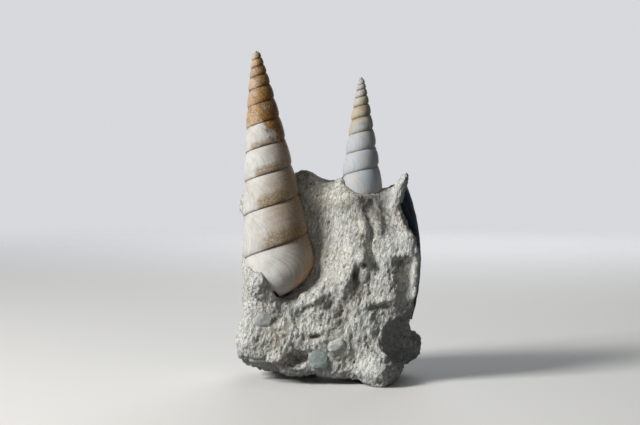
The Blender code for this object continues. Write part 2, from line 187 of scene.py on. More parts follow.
def looked_at(tree):
    """1 for what is seen, also in a gloss or through glass, and 0 for light on its way to a surface."""
    paths = add_node(tree, "ShaderNodeLightPath", {}).outputs
    seen = maths(tree, "MAXIMUM", paths["Is Camera Ray"], paths["Is Glossy Ray"])
    return maths(tree, "MAXIMUM", seen, paths["Is Transmission Ray"])


print("node helpers ready")


# %% Making a piece from a bmesh
def new_piece(name, bm, material, node):
    """An object from a bmesh, which rides on the specimen and replaces a solid node."""
    mesh = bpy.data.meshes.new(name)
    bm.to_mesh(mesh)
    bm.free()
    mesh.shade_smooth()
    piece = bpy.data.objects.new(name, mesh)
    bpy.context.scene.collection.objects.link(piece)
    mesh.materials.append(material)
    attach(piece, "root")
    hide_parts(node)
    print(name, "has", sum(len(face.vertices) - 2 for face in mesh.polygons), "triangles")
    return piece


print("every piece will ride on the body root")

# %% [markdown]
# ## The camera and the light
#
# The specimen is looked at from the front, from above the middle of its height, through a portrait lens. A
# near camera with a wide lens would make the shells lean apart, and a distant one with a long lens doesn't.
# The light is that of a studio: one soft lamp high on the left, which rakes across the rough stone and makes
# its relief readable, a weak one low in front so that no hollow is black, one behind for the back, and a dim
# sky. The sky has two strengths. The weak one lights the specimen, and the strong one is only looked at: it
# is the pale wall behind, and Light Path tells the two apart.

# %% Camera
CAMERA_PLACE = Vector((-0.004, -0.600, 0.0950))
CAMERA_DOWN = 2.75              # degrees below level
LENS = 85.0

camera_data = bpy.data.cameras.new("camera")
camera_data.lens = LENS
camera = bpy.data.objects.new("camera", camera_data)
camera.location = CAMERA_PLACE
camera.rotation_euler = (math.radians(90 - CAMERA_DOWN), 0, 0)
bpy.context.scene.collection.objects.link(camera)
bpy.context.scene.camera = camera
bpy.context.scene.view_settings.view_transform = "Standard"
print("camera at", tuple(round(value, 3) for value in camera.location))


# %% Lamps
MIDDLE = Vector((0.0, 0.0, 0.06))           # what the lamps look at


def soft_lamp(name, place, size, watts, tint):
    """A square area lamp that looks at the middle of the specimen."""
    data = bpy.data.lights.new(name, "AREA")
    data.size = size
    data.energy = watts
    data.color = tint
    lamp = bpy.data.objects.new(name, data)
    lamp.location = place
    lamp.rotation_euler = (MIDDLE - Vector(place)).to_track_quat("-Z", "Y").to_euler()
    bpy.context.scene.collection.objects.link(lamp)


WARM_WHITE = (1.0, 0.985, 0.96)
COOL_WHITE = (0.96, 0.98, 1.0)
soft_lamp("key", (-0.73, -0.43, 0.54), 0.30, 10.8, WARM_WHITE)
soft_lamp("fill", (-0.25, -0.85, 0.10), 0.60, 0.45, COOL_WHITE)
soft_lamp("back", (0.15, 0.95, 0.40), 0.60, 3.0, COOL_WHITE)
print("lamps:", [light.name for light in bpy.data.lights])

# %% Sky
SKY_COLOUR = (0.95, 0.96, 1.0, 1.0)
sky = bpy.data.worlds.new("studio")
sky.use_nodes = True
bpy.context.scene.world = sky
SKY_LIGHT = 0.04                # strength on the specimen, while the camera sees a white wall
WALL_LIGHT = 0.72               # strength of that wall
tree = sky.node_tree
background = tree.nodes["Background"]
background.inputs["Color"].default_value = SKY_COLOUR
tree.links.new(ranged(tree, looked_at(tree), 0.0, 1.0, SKY_LIGHT, WALL_LIGHT), background.inputs["Strength"])
print("sky:", SKY_LIGHT, "on the specimen and", WALL_LIGHT, "to look at")

# %% [markdown]
# ## How a turret shell grows
#
# A sea snail adds shell only at the lip of its mouth, and the mouth turns around the axis while it widens and
# slides down. So the whole shell is one short rib, the profile of a whorl from one suture to the next, that a
# formula carries around. A spiral made by a Screw modifier would keep its size, so here the rib is extruded
# step by step and each step asks the formula where it lies. One turn later its top edge meets the bottom edge
# of the whorl before, and the two are merged into the suture.

# %% The growth formula
# How far a whorl draws in, as a share of the radius, from its upper suture (0) to its lower one (1).
OLD_WHORL = ((0.0, 0.088), (0.015, 0.074), (0.05, 0.058), (0.15, 0.034), (0.32, 0.010), (0.5, 0.0),
             (0.72, -0.002), (0.86, 0.006), (0.94, 0.020), (0.98, 0.038), (0.992, 0.064), (1.0, 0.088))
YOUNG_WHORL = ((0.0, 0.215), (0.02, 0.175), (0.08, 0.115), (0.20, 0.050), (0.35, 0.010), (0.5, 0.0),
               (0.65, 0.005), (0.80, 0.040), (0.92, 0.115), (0.98, 0.175), (1.0, 0.215))
BASE_START = 0.45               # the last whorl turns under from here
BASE_END = 1.12                 # and would reach the axis here
BASE_TURN = 0.25                # turns that it takes to form that rounded base
NUB = 1.3 * MM                  # the tip is rounded off over this length
FRONT = math.radians(-90)       # the direction that faces the viewer, about +Z
SLIMMER = 0.06                  # how much slimmer a shell is where the sediment hides it
SLIM_OVER = 3 * MM              # the length over which it gets slimmer
SPIRAL_CORDS = 9                # low ridges that run along a whorl
CORD_HEIGHT = 0.055 * MM
GROWTH_WAVES = 0.12 * MM        # unevenness along the growth lines
# The lip is swept back: how many turns it lies behind, from the upper suture (0) to the lower one (1).
LIP_SWEEP = ((0.0, 0.0), (0.15, 0.060), (0.40, 0.120), (0.70, 0.140), (1.0, 0.125))

old_draw = smooth_curve(OLD_WHORL)
young_draw = smooth_curve(YOUNG_WHORL)
lip_lag = smooth_curve(LIP_SWEEP)
print("the suture is", old_draw(0), "of the radius deep on an old whorl and", young_draw(0), "on a young one")


# %% A turret shell, by numbers
class Turret:
    """The growth of one turret shell, in its own frame: the tip at the origin, the axis down -Z."""

    def __init__(self, whorls, turns, radius, reach, taper, blunt, steps, ribs, old_from, buried):
        self.sutures = [0.0]
        for height in whorls:
            self.sutures.append(self.sutures[-1] + height * MM)
        self.suture_curve = smooth_curve(list(enumerate(self.sutures)))
        self.turns = round(turns * steps) / steps
        self.radius = radius            # the shell is this wide at the length reach from its tip
        self.reach = reach
        self.taper = taper              # 1 is a straight cone, and less bulges
        self.blunt = blunt              # how far above the tip the cone would end
        self.steps = steps              # extrusions in a turn
        self.ribs = ribs                # vertices across a whorl
        self.old_from = old_from        # a whorl is fully old after this share of the shell's turns
        self.buried = buried            # below this place on the axis the sediment hides the shell

    def suture(self, turn):
        """How far from the tip the suture is after so many turns."""
        last = len(self.sutures) - 1
        if turn <= last:
            return self.suture_curve(turn)
        return self.sutures[-1] + (turn - last) * (self.sutures[-1] - self.sutures[-2])

    def share(self, rib):
        """Where a rib's vertex lies between the upper suture (0) and the lower one (1), closer near both."""
        even = rib / (self.ribs - 1)
        return mix(even, (1 - math.cos(math.pi * even)) / 2, 0.75)

    def ornament(self, turn, share, girth):
        """The cords along the whorl and the waves across it, as an addition to the radius."""
        window = math.sin(math.pi * share) ** 0.5
        size = min(girth / self.radius, 1.0) ** 0.7
        uneven = 0.6 + 0.4 * noise.noise(Vector((turn * 0.8, share * 3, 5)))
        cords = math.cos(math.tau * SPIRAL_CORDS * share) * uneven
        line = turn + lip_lag(share)
        waves = noise.noise(Vector((line * 9.0, share * 0.6, 2.0)))
        waves += 0.6 * noise.noise(Vector((line * 31.0, share, 8.0)))
        return window * size * (cords * CORD_HEIGHT + waves * GROWTH_WAVES)

    def point(self, turn, rib):
        """A vertex of the whorl that has grown for so many turns."""
        share = self.share(rib)
        along = mix(self.suture(turn), self.suture(turn + 1), share)
        age = rise(turn + share, 0.0, self.old_from * self.turns)
        full = self.radius * ((along + self.blunt) / (self.reach + self.blunt)) ** self.taper
        full *= math.sqrt(1 - (1 - min(along / NUB, 1.0)) ** 2)
        full *= 1 - SLIMMER * rise(along, self.buried, self.buried + SLIM_OVER)
        girth = full * (1 - mix(young_draw(share), old_draw(share), age))
        base = rise(turn, self.turns - 1, self.turns - 1 + BASE_TURN)
        if share > BASE_START and base > 0:
            under = (share - BASE_START) / (BASE_END - BASE_START)
            girth *= mix(1.0, math.sqrt(1 - under * under), base)
        girth += self.ornament(turn, share, full)
        angle = FRONT - math.tau * turn
        return Vector((girth * math.cos(angle), girth * math.sin(angle), -along))


print("a turret shell knows its", [name for name in vars(Turret) if not name.startswith("_")])

# %% [markdown]
# Extruding leaves the new faces in no set order, so two runs of one script would number them differently. The
# sediment is later drawn up to the nearest face, and where two are equally near the number decides. The mesh
# is therefore sorted, so that every run makes the same specimen.

# %% A set order
SLANT = Vector((0.31, 0.17, 1.0))       # no two vertices of a shell lie equally far along this direction


def put_in_order(bm, key):
    """Number the vertices by a key, and the edges and faces by their vertices."""
    bm.verts.sort(key=key)
    bm.verts.index_update()
    count = len(bm.verts)

    def number(item):
        total = 0
        for index in sorted(vert.index for vert in item.verts)[:3]:
            total = total * count + index
        return total

    bm.edges.sort(key=number)
    bm.faces.sort(key=number)


print("vertices are sorted along", tuple(round(part, 2) for part in SLANT))

# %% Growing the mesh
SAME_POINT = 0.002 * MM
TIP_CAP = 0.02 * MM             # how far below the tip its fan closes
BASE_CAP = 0.8                  # and how many turns beyond the last the base's fan closes
TIP_TURNS = 1.5                 # an open edge above this turn belongs to the tip


def grow_shell(turret):
    """The whorls as a bmesh, with a UV map of (turns grown, place across the whorl)."""
    bm = bmesh.new()
    turn_layer = bm.verts.layers.float.new("turn")
    rib_layer = bm.verts.layers.int.new("rib")
    first = []
    for rib in range(turret.ribs):
        vert = bm.verts.new(turret.point(0.0, rib))
        vert[rib_layer] = rib
        first.append(vert)
    edges = [bm.edges.new(pair) for pair in zip(first, first[1:])]
    for step in range(1, round(turret.turns * turret.steps) + 1):
        turn = step / turret.steps
        grown = bmesh.ops.extrude_edge_only(bm, edges=edges)["geom"]
        verts = {item for item in grown if isinstance(item, bmesh.types.BMVert)}
        for vert in verts:
            vert[turn_layer] = turn
            vert.co = turret.point(turn, vert[rib_layer])
        edges = [item for item in grown if isinstance(item, bmesh.types.BMEdge)
                 and item.verts[0] in verts and item.verts[1] in verts]
    growth = bm.loops.layers.uv.new("growth")
    for face in bm.faces:
        for loop in face.loops:
            share = turret.share(loop.vert[rib_layer])
            loop[growth].uv = (loop.vert[turn_layer] + lip_lag(share), share)
    put_in_order(bm, lambda vert: round(vert[turn_layer] * turret.steps) * turret.ribs + vert[rib_layer])
    bmesh.ops.remove_doubles(bm, verts=bm.verts, dist=SAME_POINT)
    close_ends(bm, turret)
    put_in_order(bm, lambda vert: vert.co.dot(SLANT))
    bmesh.ops.recalc_face_normals(bm, faces=bm.faces)
    return bm


def close_ends(bm, turret):
    """Close the tip and the base, each with a fan to a point on the axis."""
    tip_limit = -turret.suture(TIP_TURNS)
    rims = [edge for edge in bm.edges if edge.is_boundary]
    tip_rim = [edge for edge in rims if edge.verts[0].co.z > tip_limit]
    base_rim = [edge for edge in rims if edge.verts[0].co.z <= tip_limit]
    for rim, height in ((tip_rim, -TIP_CAP), (base_rim, -turret.suture(turret.turns + BASE_CAP))):
        grown = bmesh.ops.extrude_edge_only(bm, edges=rim)["geom"]
        verts = [item for item in grown if isinstance(item, bmesh.types.BMVert)]
        bmesh.ops.pointmerge(bm, verts=verts, merge_co=Vector((0, 0, height)))


def set_leaning(bm, tip, foot):
    """Carry a shell from its own frame to its place: the tip at tip, the axis towards foot."""
    turn = Vector((0, 0, 1)).rotation_difference(tip - foot)
    bmesh.ops.transform(bm, matrix=Matrix.Translation(tip) @ turn.to_matrix().to_4x4(), verts=bm.verts)


print("ready to grow")

# %% [markdown]
# ## The finish of old shell
#
# The large shell is ivory where it is clean, and tan towards its right side, a tan that is partly painted
# shade.
# Iron in the ground has stained its upper third ochre and brown, most of all in the sutures, and has left
# bands just above the lower ones; a grey crust still clings in places. The stains could be painted by hand,
# but they follow the whorls, so a formula in turns and shares of a whorl says where each one lies. It is
# worked out vertex by vertex and stored on the mesh, and the shader adds what is finer: speckle, growth lines
# and spiral threads.

# %% Forms on the front
def oval(place, form):
    """1 in the middle of a form on the front and 0 well outside it: its x, height, half sizes and lean."""
    x, z, half_width, half_height, lean_degrees = form
    lean_angle = math.radians(lean_degrees)
    across = place.x / MM - x
    up = place.z / MM - z
    side = across * math.cos(lean_angle) - up * math.sin(lean_angle)
    run = across * math.sin(lean_angle) + up * math.cos(lean_angle)
    return math.exp(-(side / half_width) ** 2 - (run / half_height) ** 2)


SLIT = (-20.9, 35.0, 0.75, 2.3, -29.0)      # the gap at the broken lip, in mm and degrees
SLIT_DEPTH = 1.5 * MM
print("slit", 2 * SLIT[2], "by", 2 * SLIT[3], "mm")

# %% Marks of the large shell
# Brown bands above a suture, by whorl: the middle and the half width around the shell, in radians, and the
# share of the whorl at which the band starts.
BANDS = {7: (-0.15, 0.65, 0.65), 8: (0.05, 0.65, 0.60), 9: (0.05, 0.70, 0.55), 10: (0.30, 0.80, 0.52)}
# Spots of crust: the whorl, the place around the shell, and the half sizes along both.
CRUSTS = ((6.28, 0.30, 0.28, 0.30), (7.72, 0.30, 0.16, 0.20), (7.35, 0.15, 0.20, 0.30))
SHELL_FACE = -22 * MM           # how far forward the last whorl's face lies
SHELL_FACE_DEPTH = 12 * MM


def large_shell_marks(place, turn, share, around):
    """Marks of the large shell at a point: around is the angle from the front, positive to the right."""
    whorl = turn + share
    right = math.sin(around)
    drift = 0.45 * noise.noise(place * 200) + 0.35 * noise.noise(place * 600)
    patchy = noise.noise(Vector((turn * 2.3, share * 1.6, 4.0))) + 0.5 * noise.noise(place * 500)

    # The upper third, lower down on the right. Its youngest whorls are paler between the sutures.
    ochre = 1 - rise(whorl + drift - 0.80 * max(right + 0.1, 0.0), 6.95, 7.35)
    ochre *= rise(whorl + 0.3 * drift, 0.7, 1.8)
    near_suture = rise(abs(share - 0.5) + 0.35 * drift, 0.22, 0.48)
    between = mix(mix(0.72, 1.0, near_suture), 1.0, rise(whorl + drift, 4.8, 5.8))
    # The lit left side keeps less ochre, a painted highlight.
    ochre *= mix(0.80, 1.0, rise(right, -0.7, 0.1)) * between

    # The bands above the lower sutures, with one thin line above the band of whorl 9.
    band = 0.0
    if round(turn) in BANDS:
        middle, wide, top = BANDS[round(turn)]
        below = rise(share + 0.08 * patchy, top, top + 0.20)
        band = below * rise(bell(around, middle, wide) + 0.25 * patchy, 0.25, 0.75)
        line = 0.7 * bell(share, 0.60 + 0.06 * right, 0.025) * bell(whorl, 9.65, 0.12)
        band = max(band, line * rise(right, -0.6, 0))

    # The dark of the sutures, wide and ragged on young whorls, thin and mostly at the front on old ones.
    suture = math.exp(-min(share, 1 - share) / mix(0.09, 0.016, rise(whorl, 4, 8)))
    suture *= rise(whorl, 1.2, 2.5)
    ragged = rise(drift + 0.5 * noise.noise(place * 300 + Vector((9, 9, 2))), -0.35, 0.25)
    facing = 0.25 + 0.75 * rise(math.cos(around - 0.75), 0.1, 0.9)
    suture *= mix(ragged, facing, rise(whorl, 6.0, 8.0))
    suture = max(suture, band * math.exp(-(1 - share) / 0.06) * rise(drift, -0.3, 0.1))

    crust = max(bell(whorl, spot, high) * bell(around, angle, wide) for spot, angle, high, wide in CRUSTS)
    crust = rise(crust + 0.5 * noise.noise(place * 900) + 0.4 * noise.noise(place * 2100), 0.60, 0.95)

    # The tan blush and painted shade of the right side, harder where the ochre lies and faint on the last
    # whorl.
    blush = right + 0.7 * noise.noise(place * 75 + Vector((3, 1, 7))) + 0.5 * bell(whorl, 9.4, 0.7)
    stained = 1 - rise(whorl, 6.6, 7.6)
    blush = rise(blush, mix(-0.25, -0.75, stained), mix(0.95, 0.55, stained))
    blush *= mix(1.0, 0.35, rise(whorl, 10.9, 11.3))

    rim = rise(turn, 9.9, 10.5) * rise(share + 0.5 * right + 0.3 * drift, 0.55, 1.25)
    rim *= rise(around, -0.1, 0.9)
    slit = bell(place.y, SHELL_FACE, SHELL_FACE_DEPTH) * oval(place, SLIT)
    return {"ochre": ochre, "band": band, "suture": suture, "crust": crust, "blush": blush, "rim": rim,
            "slit": slit}


print("bands on whorls", list(BANDS))


# %% Marks of the small shell
def small_shell_marks(place, turn, share, around):
    """Tan in the sutures of its middle, nearly clean below, and caked where the sediment begins."""
    whorl = turn + share
    drift = 0.5 * noise.noise(place * 260) + 0.3 * noise.noise(place * 700)
    ochre = rise(whorl, 2.0, 3.0) * (1 - rise(whorl + drift, 6.0, 7.6))
    patchy = noise.noise(Vector((turn * 1.7, share * 2.2, 1.0)))
    ochre *= 0.25 + 0.75 * rise(patchy + 0.4 * math.sin(around), -0.1, 0.5)
    ochre *= mix(0.45, 1.0, rise(abs(share - 0.5) + 0.35 * drift, 0.20, 0.46))
    band = rise(abs(share - 0.5), 0.25, 0.48) * (1 - rise(whorl, 6.2, 7.4)) * rise(whorl, 1.2, 2.2)
    suture = math.exp(-min(share, 1 - share) / 0.045) * rise(whorl, 1.0, 2.0)
    suture *= mix(0.9, 0.45, rise(whorl, 6, 8)) * rise(drift, -0.45, 0.20)
    blush = rise(noise.noise(place * 110 + Vector((8, 2, 1))), -0.3, 0.3)
    blush *= mix(1.0, 0.25, rise(whorl, 6.5, 8.0))
    crust = rise(whorl + 0.1 * drift, 9.95, 10.05)
    return {"ochre": ochre, "band": band, "suture": suture, "crust": crust, "blush": blush}


print("halfway down, ochre is", round(small_shell_marks(Vector(), 5.0, 0.5, 0.0)["ochre"], 2))

# %% Storing the marks
MARKS = ("ochre", "band", "suture", "crust", "blush", "rim", "slit")


def mark_shell(bm, marks):
    """Store the marks at every vertex, which takes its place in the whorl from one of its corners."""
    growth = bm.loops.layers.uv["growth"]
    layers = {name: bm.verts.layers.float.new(name) for name in MARKS}
    for vert in bm.verts:
        if not vert.link_loops:
            continue
        turn, share = max(loop[growth].uv[:] for loop in vert.link_loops)
        turn -= lip_lag(share)
        around = -math.tau * (turn % 1.0)
        around += math.tau if around < -math.pi else 0.0
        for name, value in marks(vert.co, turn, share, around).items():
            vert[layers[name]] = value
        vert.co.y += SLIT_DEPTH * vert[layers["slit"]]


print("marks:", ", ".join(MARKS))


# %% The shells' material
SLIT_RIM = colour(128, 88, 48)
# The slit's middle is painted near black, as the shade inside the gap.
SLIT_PAINTED_SHADE = colour(34, 24, 14)


def shell_material(name, clean, pale, blush, ochre, deep, olive, crust, rim, thread_count):
    """Worn shell: the clean colour, then a blush that is partly painted shade, stain, sutures and crust laid
    over it.
    """
    material, tree, shader = new_material(name, 0.5, gloss=0.15)
    place = object_place(tree)
    growth = add_node(tree, "ShaderNodeUVMap", {}, uv_map="growth").outputs[0]
    lines = clouds(tree, stretched(tree, growth, (1 / 130, 1 / 0.8, 1.0)), 1.0, 3.0, 0.65)
    threads = clouds(tree, stretched(tree, growth, (1 / 3.0, 1 / thread_count, 1.0)), 1.0, 2.0, 0.5)
    mottle = clouds(tree, place, 260.0, 4.0, 0.6)
    speckle = clouds(tree, place, 1500.0, 3.0, 0.7)
    frost = clouds(tree, place, 1700.0, 2.0, 0.6)
    marks = {mark: attribute(tree, mark) for mark in MARKS}

    # Clean shell, with its blush, which is partly painted shade on the right, its growth lines and the
    # stained threads.
    tone = blended(tree, ranged(tree, mottle, 0.35, 0.65), clean, pale)
    blush_and_shade_mix = times(tree, marks["blush"], ranged(tree, speckle, 0.36, 0.60, 0.60, 1.0))
    tone = blended(tree, blush_and_shade_mix, tone, blush)
    tone = blended(tree, ranged(tree, lines, 0.48, 0.68, 0.0, 0.22), tone, deep, "MULTIPLY")
    striped = times(tree, marks["blush"], ranged(tree, threads, 0.50, 0.66, 0.0, 0.40))
    tone = blended(tree, striped, tone, olive)
    tone = blended(tree, times(tree, marks["rim"], ranged(tree, lines, 0.3, 0.7, 0.55, 1.0)), tone, rim)
    # The ochre stain, frosted in places, and deeper in others and on the right side, where the deeper stain
    # is painted shade.
    stain = times(tree, marks["ochre"], ranged(tree, speckle, 0.36, 0.56, 0.65, 1.0))
    stain = times(tree, stain, ranged(tree, frost, 0.48, 0.62, 1.0, 0.60))
    tone = blended(tree, stain, tone, ochre)
    # Painted shade: the stain gets deeper towards the right side, away from the lamp.
    deeper_stain_and_shade = times(tree, marks["blush"], 0.75)
    deeper_stain_and_shade = maths(tree, "ADD", ranged(tree, mottle, 0.42, 0.62, 0.0, 0.65), deeper_stain_and_shade)
    tone = blended(tree, times(tree, stain, maths(tree, "MINIMUM", deeper_stain_and_shade, 0.90)), tone, deep)
    # What lies on top: bands, sutures, crust and the slit, whose dark middle is painted shade.
    band = times(tree, marks["band"], ranged(tree, speckle, 0.38, 0.60, 0.45, 0.95))
    band = times(tree, band, ranged(tree, threads, 0.40, 0.60, 0.75, 1.0))
    tone = blended(tree, band, tone, olive)
    tone = blended(tree, times(tree, marks["suture"], 0.85), tone, deep)
    crusted = times(tree, marks["crust"], ranged(tree, speckle, 0.35, 0.55, 0.6, 1.0))
    tone = blended(tree, crusted, tone, crust)
    tone = blended(tree, ranged(tree, marks["slit"], 0.22, 0.45), tone, SLIT_RIM)
    # Painted shade in the middle of the slit.
    tone = blended(tree, ranged(tree, marks["slit"], 0.42, 0.62), tone, SLIT_PAINTED_SHADE)
    tree.links.new(tone, shader.inputs["Base Color"])

    rough = maths(tree, "ADD", ranged(tree, mottle, 0.3, 0.7, 0.46, 0.62), times(tree, crusted, 0.4))
    tree.links.new(rough, shader.inputs["Roughness"])
    normal = raised(tree, lines, 0.07 * MM)
    normal = raised(tree, threads, 0.07 * MM, normal)
    grain = times(tree, speckle, maths(tree, "ADD", times(tree, crusted, 3.0), 0.25))
    tree.links.new(raised(tree, grain, 0.18 * MM, normal), shader.inputs["Normal"])
    return material


ivory_shell = shell_material(
    "ivory shell", clean=colour(202, 199, 192), pale=colour(216, 216, 213), blush=colour(168, 140, 106),
    ochre=colour(180, 132, 60), deep=colour(96, 64, 24), olive=colour(136, 108, 62),
    crust=colour(150, 148, 136), rim=colour(194, 134, 74), thread_count=34)
bluish_shell = shell_material(
    "bluish white shell", clean=colour(194, 198, 199), pale=colour(189, 199, 209),
    blush=colour(198, 190, 170), ochre=colour(190, 162, 104), deep=colour(116, 88, 52),
    olive=colour(172, 160, 132), crust=colour(208, 208, 200), rim=colour(200, 180, 150), thread_count=26)
print("materials:", ivory_shell.name, "and", bluish_shell.name)

# %% The large shell
LARGE_TIP = Vector((-28.9, -9.0, 129.8)) * MM
LARGE_FOOT = Vector((-18.9, -8.5, 34.0)) * MM
large = Turret(
    whorls=(0.9, 2.4, 3.0, 3.5, 4.6, 6.0, 7.6, 9.1, 10.8, 12.4, 15.9, 19.5), turns=11.2,
    radius=14.5 * MM, reach=85.0 * MM, taper=0.70, blunt=2.2 * MM, steps=140, ribs=30,
    old_from=0.75, buried=200 * MM)
bm = grow_shell(large)
set_leaning(bm, LARGE_TIP, LARGE_FOOT)
mark_shell(bm, large_shell_marks)
large_shell = new_piece("large_shell", bm, ivory_shell, "large_turret_shell")

# %% The small shell
SMALL_TIP = Vector((12.3, -4.0, 119.8)) * MM
SMALL_FOOT = Vector((12.4, -4.0, 68.0)) * MM
small = Turret(
    whorls=(1.2, 1.8, 2.0, 2.8, 3.5, 4.6, 5.7, 7.2, 7.8, 10.8, 8.6), turns=10.1,
    radius=7.5 * MM, reach=37.6 * MM, taper=0.75, blunt=1.9 * MM, steps=100, ribs=28,
    old_from=1.35, buried=45 * MM)
bm = grow_shell(small)
set_leaning(bm, SMALL_TIP, SMALL_FOOT)
mark_shell(bm, small_shell_marks)
small_shell = new_piece("small_shell", bm, bluish_shell, "small_turret_shell")

# %% [markdown]
# ## The dark valve
#
# Only one valve of the bivalve is left, a thin blue-black dome along the right flank with its growth bands
# around it. A part of a stretched sphere would do for the dome, but its outline wouldn't be a shell's. So it
# is a flat grid bent by the same formula as the solid, much finer, and a Solidify modifier gives it its wall.
# Its lower edge is broken into flakes, so the edge there follows a noise instead of a smooth curve.

# %% The valve's sheet
VALVE_CREST = Vector((36.4, 5.0, 47.0)) * MM    # the point of the dome that is furthest to the right
VALVE_ROUND = 21.0 * MM         # how it is rounded from front to back
VALVE_FLATTER = 0.85            # and how much flatter than a circle
VALVE_LONG = 82.0 * MM          # the radius from top to bottom
VALVE_WALL = 1.3 * MM
# The outline: height and depth of its front and back edges, in mm.
VALVE_FRONT = (
    (20.0, 0.0), (29.0, -4.0), (40.0, -7.5), (55.0, -9.8), (68.0, -10.8), (75.5, -8.8), (79.4, -6.0))
VALVE_BACK = (
    (20.0, 15.0), (29.0, 19.0), (40.0, 21.0), (52.0, 20.5), (64.0, 16.0), (73.0, 8.0), (79.4, 0.0))
VALVE_BREAK = 4.0 * MM          # how unevenly the lower edge is broken
BEAK_DEPTH = 2.0 * MM           # where the growth bands begin, at the top
BAND_REACH = 60.0 * MM


def valve_x(y, z):
    """How far right the outside of the valve is at a depth and height."""
    fore = min(abs(y - VALVE_CREST.y), VALVE_ROUND) / VALVE_ROUND
    up = (z - VALVE_CREST.z) / VALVE_LONG
    round_part = VALVE_ROUND * (1 - math.sqrt(max(1 - fore * fore, 0)))
    long_part = VALVE_LONG * (1 - math.sqrt(1 - up * up))
    return VALVE_CREST.x - round_part * VALVE_FLATTER - long_part


def valve_sheet():
    """A grid bent into the valve's outside, with its growth bands and its pale front edge marked."""
    front = smooth_curve(VALVE_FRONT, MM)
    back = smooth_curve(VALVE_BACK, MM)
    low = VALVE_FRONT[0][0] * MM
    high = VALVE_FRONT[-1][0] * MM
    bm = bmesh.new()
    bmesh.ops.create_grid(bm, x_segments=56, y_segments=110, size=1.0)
    ring = bm.verts.layers.float.new("ring")
    edge = bm.verts.layers.float.new("edge")
    for vert in bm.verts:
        u, v = vert.co.x, vert.co.y
        break_line = low + VALVE_BREAK * (1 + 1.5 * noise.noise(Vector((u * 2.3, 4.0, 0))))
        break_line += 0.7 * MM * noise.noise(Vector((u * 9.0, 1.0, 0)))
        z = mix(break_line, high, (v + 1) / 2)
        chipped = 0.8 * MM * noise.noise(Vector((0, 0, z / (7 * MM))))
        chipped += 0.25 * MM * noise.noise(Vector((u, 3, z / MM)))
        y = mix(front(z) + chipped, back(z) - chipped, (u + 1) / 2)
        # The growth bands run around the beak at the top, in long ovals.
        reach = math.hypot((y - BEAK_DEPTH) * 1.7, high - z) / BAND_REACH
        swell = noise.noise(Vector((reach * 22, 0.0, 3.0))) * 0.16 * MM
        vert.co = Vector((valve_x(y, z) + swell * rise(1 - abs(u), 0.0, 0.2), y, z))
        vert[ring] = reach
        vert[edge] = rise(-u, 0.97, 1.0)
    return bm


def give_wall(piece, thickness):
    """Turn an open sheet's outside to the right, and thicken it to the left."""
    normal_sum = sum((face.normal * face.area for face in piece.data.polygons), Vector())
    if normal_sum.x < 0:
        piece.data.flip_normals()
    wall = piece.modifiers.new("wall", "SOLIDIFY")
    wall.thickness = thickness
    wall.offset = -1


print("valve from", VALVE_FRONT[0][0], "to", VALVE_FRONT[-1][0], "mm high")

# %% [markdown]
# The valve is seen almost on edge, and at such a low angle even a little gloss mirrors the white wall and
# turns the dark shell pale. Its own shine is worn off anyway, so nearly no gloss is left, and its blue-grey
# sheen is painted into its paler patches instead.

# %% Dark worn shell
def valve_material():
    """Blue-black shell in growth bands, with paler patches that are partly a painted blue-grey sheen, specks
    and a bare, pale front edge.
    """
    material, tree, shader = new_material("dark valve", 0.60, gloss=0.01)
    place = object_place(tree)
    ring_place = add_node(tree, "ShaderNodeCombineXYZ", {0: attribute(tree, "ring")}).outputs[0]
    bands = clouds(tree, ring_place, 26.0, 4.0, 0.6)
    patches_and_sheen = clouds(tree, place, 90.0, 4.0, 0.6)
    speckle = clouds(tree, place, 900.0, 3.0, 0.6)
    tone = blended(tree, ranged(tree, bands, 0.40, 0.62), colour(28, 35, 43), colour(68, 85, 98))
    # Paler patches, partly the shell's own colour and partly a painted blue-grey sheen.
    tone = blended(tree, ranged(tree, patches_and_sheen, 0.54, 0.70, 0.0, 0.6), tone, colour(104, 128, 142))
    tone = blended(tree, ranged(tree, speckle, 0.60, 0.75, 0.0, 0.4), tone, colour(130, 140, 146))
    tone = blended(tree, ranged(tree, attribute(tree, "edge"), 0.4, 0.9), tone, colour(198, 204, 206))
    tree.links.new(tone, shader.inputs["Base Color"])
    tree.links.new(ranged(tree, patches_and_sheen, 0.4, 0.7, 0.55, 0.75), shader.inputs["Roughness"])
    normal = raised(tree, bands, 0.25 * MM)
    tree.links.new(raised(tree, speckle, 0.05 * MM, normal), shader.inputs["Normal"])
    return material


dark_valve = valve_material()
print(dark_valve.name, "is ready")

# %% The valve
valve = new_piece("dark_valve", valve_sheet(), dark_valve, "bivalve_valve")
give_wall(valve, VALVE_WALL)

# %% [markdown]
# ## The shell chips
#
# Three scraps of other shells lie flush in the front, worn smooth and dusty. A flat plane would do for their
# faces, but its edges would look cut. So each is a copy of its solid, subdivided and smoothed once, and then
# worn by a faint noise. They are made before the block, because the sediment is drawn up to them.

# %% The chips' material
PITTED = colour(112, 110, 100)
DUST = colour(206, 208, 200)


def chip_material(name, dull, clean, dusty):
    """Smooth worn shell of one colour, clouded, faintly pitted and dusty in places."""
    material, tree, shader = new_material(name, 0.5)
    place = object_place(tree)
    mottle = clouds(tree, place, 420.0, 4.0, 0.6)
    fine = clouds(tree, place, 2200.0, 3.0, 0.6)
    tone = blended(tree, ranged(tree, mottle, 0.35, 0.65), dull, clean)
    tone = blended(tree, ranged(tree, fine, 0.34, 0.50, 0.45, 0.0), tone, PITTED)
    dust = ranged(tree, clouds(tree, place, 700.0, 4.0, 0.7), 0.62 - dusty, 0.72 - dusty)
    tone = blended(tree, dust, tone, DUST)
    tree.links.new(tone, shader.inputs["Base Color"])
    tree.links.new(ranged(tree, mottle, 0.35, 0.65, 0.50, 0.75), shader.inputs["Roughness"])
    normal = raised(tree, dust, 0.12 * MM)
    tree.links.new(raised(tree, fine, 0.16 * MM, normal), shader.inputs["Normal"])
    return material


